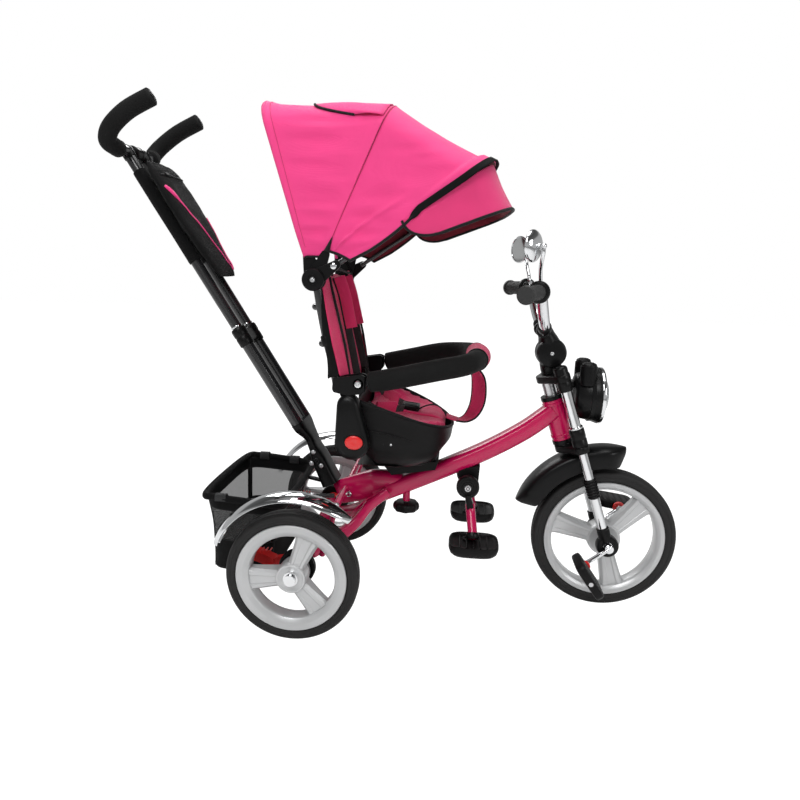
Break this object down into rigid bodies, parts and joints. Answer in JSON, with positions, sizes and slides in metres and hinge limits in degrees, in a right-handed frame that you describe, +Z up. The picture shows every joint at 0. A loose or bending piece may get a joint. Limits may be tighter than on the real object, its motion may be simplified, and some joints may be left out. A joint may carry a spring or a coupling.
{
  "type": "children's tricycle",
  "caption": "Push-along children's tricycle with a curved steel frame, sprung-look fork, reclining canopy seat, safety bar, telescopic parent handle and rear basket.",
  "frame": {"origin": "on the floor, at the centre of the tricycle's bounding box", "axes": "+X forward towards the front wheel, +Y to the rider's left, +Z up"},
  "size_m": [1.1788, 0.51, 1.0249],
  "materials": {
    "frame_paint": "gloss paint",
    "steel": "zinc plated",
    "black_paint": "satin black paint",
    "black_plastic": "fine moulded texture",
    "chrome": "polished",
    "rim_silver": "silver painted plastic",
    "tyre_rubber": "foam rubber",
    "foam_black": "foam sleeve",
    "grip_rubber": "ribbed",
    "red_plastic": "moulded",
    "lens_clear": "clear moulded lens",
    "pink_fabric": "woven polyester",
    "black_fabric": "woven polyester",
    "black_webbing": "webbing"
  },
  "bodies": {
    "frame": {"main_tube": "frame_paint", "rear_subframe": "frame_paint", "rear_axle": "steel", "headset_cups": "black_plastic", "rear_fenders": "chrome", "brake_housings": "black_plastic", "basket_frame": "black_paint", "basket_bag": "black_fabric", "push_socket": "black_paint", "push_lower_tubes": "black_paint", "seat_base": "black_plastic", "seat_shell": "black_plastic", "seat_cushion": "pink_fabric", "waist_belt": "black_webbing", "footrest_bracket": "black_plastic", "fasteners": "steel"},
    "fork": {"fork_crown": "black_paint", "fork_tubes": "chrome", "fork_sleeves": "black_paint", "stem_cover": "black_plastic", "handlebar": "chrome", "grips": "grip_rubber", "headlight_housing": "black_plastic", "headlight_lens": "lens_clear", "front_fender": "black_plastic"},
    "mirror_head_left": {"mirror_left": "chrome"},
    "mirror_head_right": {"mirror_right": "chrome"},
    "light_button_left": {"headlight_button_left": "black_plastic"},
    "light_button_right": {"headlight_button_right": "black_plastic"},
    "front_wheel": {"front_tyre": "tyre_rubber", "front_rim": "rim_silver", "crank": "chrome"},
    "left_pedal": {"pedal_left": "black_plastic"},
    "right_pedal": {"pedal_right": "black_plastic"},
    "rear_wheel_left": {"rear_tyre_left": "tyre_rubber", "rear_rim_left": "rim_silver"},
    "rear_wheel_right": {"rear_tyre_right": "tyre_rubber", "rear_rim_right": "rim_silver"},
    "backrest": {"recline_housings": "black_plastic", "back_frame": "black_paint", "back_cushion": "pink_fabric", "harness": "black_webbing", "canopy_rear_bow": "black_paint", "canopy_rear_fabric": "pink_fabric"},
    "canopy_mid": {"canopy_mid_bow": "black_paint"},
    "canopy_front": {"canopy_front_bow": "black_paint", "canopy_front_fabric": "pink_fabric", "canopy_visor": "pink_fabric"},
    "lock_button_left": {"recline_button_left": "red_plastic"},
    "lock_button_right": {"recline_button_right": "red_plastic"},
    "arm_bar": {"safety_bar": "foam_black", "crotch_strap": "pink_fabric"},
    "push_handle": {"push_upper_tubes": "black_paint", "handle_horns": "foam_black", "handle_bag": "black_fabric"},
    "brake_left": {"brake_pedal_left": "red_plastic"},
    "brake_right": {"brake_pedal_right": "red_plastic"},
    "foot_arm_left": {"footrest_left": "black_plastic"},
    "foot_arm_right": {"footrest_right": "black_plastic"},
    "clamp_knob": {"seat_knob": "black_plastic"}
  },
  "joints": [
    {"name": "steering", "type": "hinge", "parent": "frame", "child": "fork", "pos_m": [0.31164, 0, 0.443], "axis": [-0.319, 0, 0.9478], "range_deg": [-35, 35]},
    {"name": "front_wheel_spin", "type": "hinge", "parent": "fork", "child": "front_wheel", "pos_m": [0.4384, 0, 0.151], "axis": [0, 1, 0], "continuous": true},
    {"name": "pedal_left_spin", "type": "hinge", "parent": "front_wheel", "child": "left_pedal", "pos_m": [0.48726, 0, 0.18917], "axis": [0, 1, 0], "continuous": true},
    {"name": "pedal_right_spin", "type": "hinge", "parent": "front_wheel", "child": "right_pedal", "pos_m": [0.38954, 0, 0.11283], "axis": [0, 1, 0], "continuous": true},
    {"name": "rear_wheel_left_spin", "type": "hinge", "parent": "frame", "child": "rear_wheel_left", "pos_m": [-0.1836, 0, 0.128], "axis": [0, 1, 0], "continuous": true},
    {"name": "rear_wheel_right_spin", "type": "hinge", "parent": "frame", "child": "rear_wheel_right", "pos_m": [-0.1836, 0, 0.128], "axis": [0, 1, 0], "continuous": true},
    {"name": "mirror_left_swivel", "type": "hinge", "parent": "fork", "child": "mirror_head_left", "pos_m": [0.2544, 0.151, 0.752], "axis": [0, 0, 1], "range_deg": [-18, 18]},
    {"name": "mirror_right_swivel", "type": "hinge", "parent": "fork", "child": "mirror_head_right", "pos_m": [0.2544, -0.151, 0.752], "axis": [0, 0, 1], "range_deg": [-18, 18]},
    {"name": "light_button_left_press", "type": "slide", "parent": "fork", "child": "light_button_left", "axis": [0, 0, -1], "range_m": [0, 0.0025], "stiffness_N_per_m": 400},
    {"name": "light_button_right_press", "type": "slide", "parent": "fork", "child": "light_button_right", "axis": [0, 0, -1], "range_m": [0, 0.0025], "stiffness_N_per_m": 400},
    {"name": "backrest_recline", "type": "hinge", "parent": "frame", "child": "backrest", "pos_m": [-0.0796, 0, 0.377], "axis": [0, 1, 0], "range_deg": [-12, 0]},
    {"name": "lock_button_left_press", "type": "slide", "parent": "backrest", "child": "lock_button_left", "axis": [0, -1, 0], "range_m": [0, 0.0025], "stiffness_N_per_m": 500},
    {"name": "lock_button_right_press", "type": "slide", "parent": "backrest", "child": "lock_button_right", "axis": [0, 1, 0], "range_m": [0, 0.0025], "stiffness_N_per_m": 500},
    {"name": "canopy_mid_fold", "type": "hinge", "parent": "backrest", "child": "canopy_mid", "pos_m": [-0.1576, 0, 0.682], "axis": [0, 1, 0], "range_deg": [-26, 0], "deforming": ["canopy_rear_fabric"]},
    {"name": "canopy_front_fold", "type": "hinge", "parent": "canopy_mid", "child": "canopy_front", "pos_m": [-0.1576, 0, 0.682], "axis": [0, 1, 0], "range_deg": [-18, 0], "deforming": ["canopy_front_fabric"]},
    {"name": "safety_bar_lift", "type": "hinge", "parent": "backrest", "child": "arm_bar", "pos_m": [-0.0766, 0, 0.489], "axis": [0, 1, 0], "range_deg": [-60, 0]},
    {"name": "push_handle_slide", "type": "slide", "parent": "frame", "child": "push_handle", "axis": [-0.5344, 0, 0.8453], "range_m": [-0.15, 0]},
    {"name": "brake_left_press", "type": "hinge", "parent": "frame", "child": "brake_left", "pos_m": [-0.1836, 0, 0.128], "axis": [0, 1, 0], "range_deg": [-14, 0]},
    {"name": "brake_right_press", "type": "hinge", "parent": "frame", "child": "brake_right", "pos_m": [-0.1836, 0, 0.128], "axis": [0, 1, 0], "range_deg": [-14, 0]},
    {"name": "footrest_left_fold", "type": "hinge", "parent": "frame", "child": "foot_arm_left", "pos_m": [0.1444, 0, 0.261], "axis": [0, 1, 0], "range_deg": [0, 90]},
    {"name": "footrest_right_fold", "type": "hinge", "parent": "frame", "child": "foot_arm_right", "pos_m": [0.1444, 0, 0.261], "axis": [0, 1, 0], "range_deg": [0, 90]},
    {"name": "seat_knob_turn", "type": "hinge", "parent": "frame", "child": "clamp_knob", "pos_m": [0.0124, 0, 0.193], "axis": [0, 0, 1], "continuous": true}
  ],
  "couplings": [
    {"joint": "canopy_front_fold", "follows": "canopy_mid_fold", "ratio": 0.69201}
  ]
}
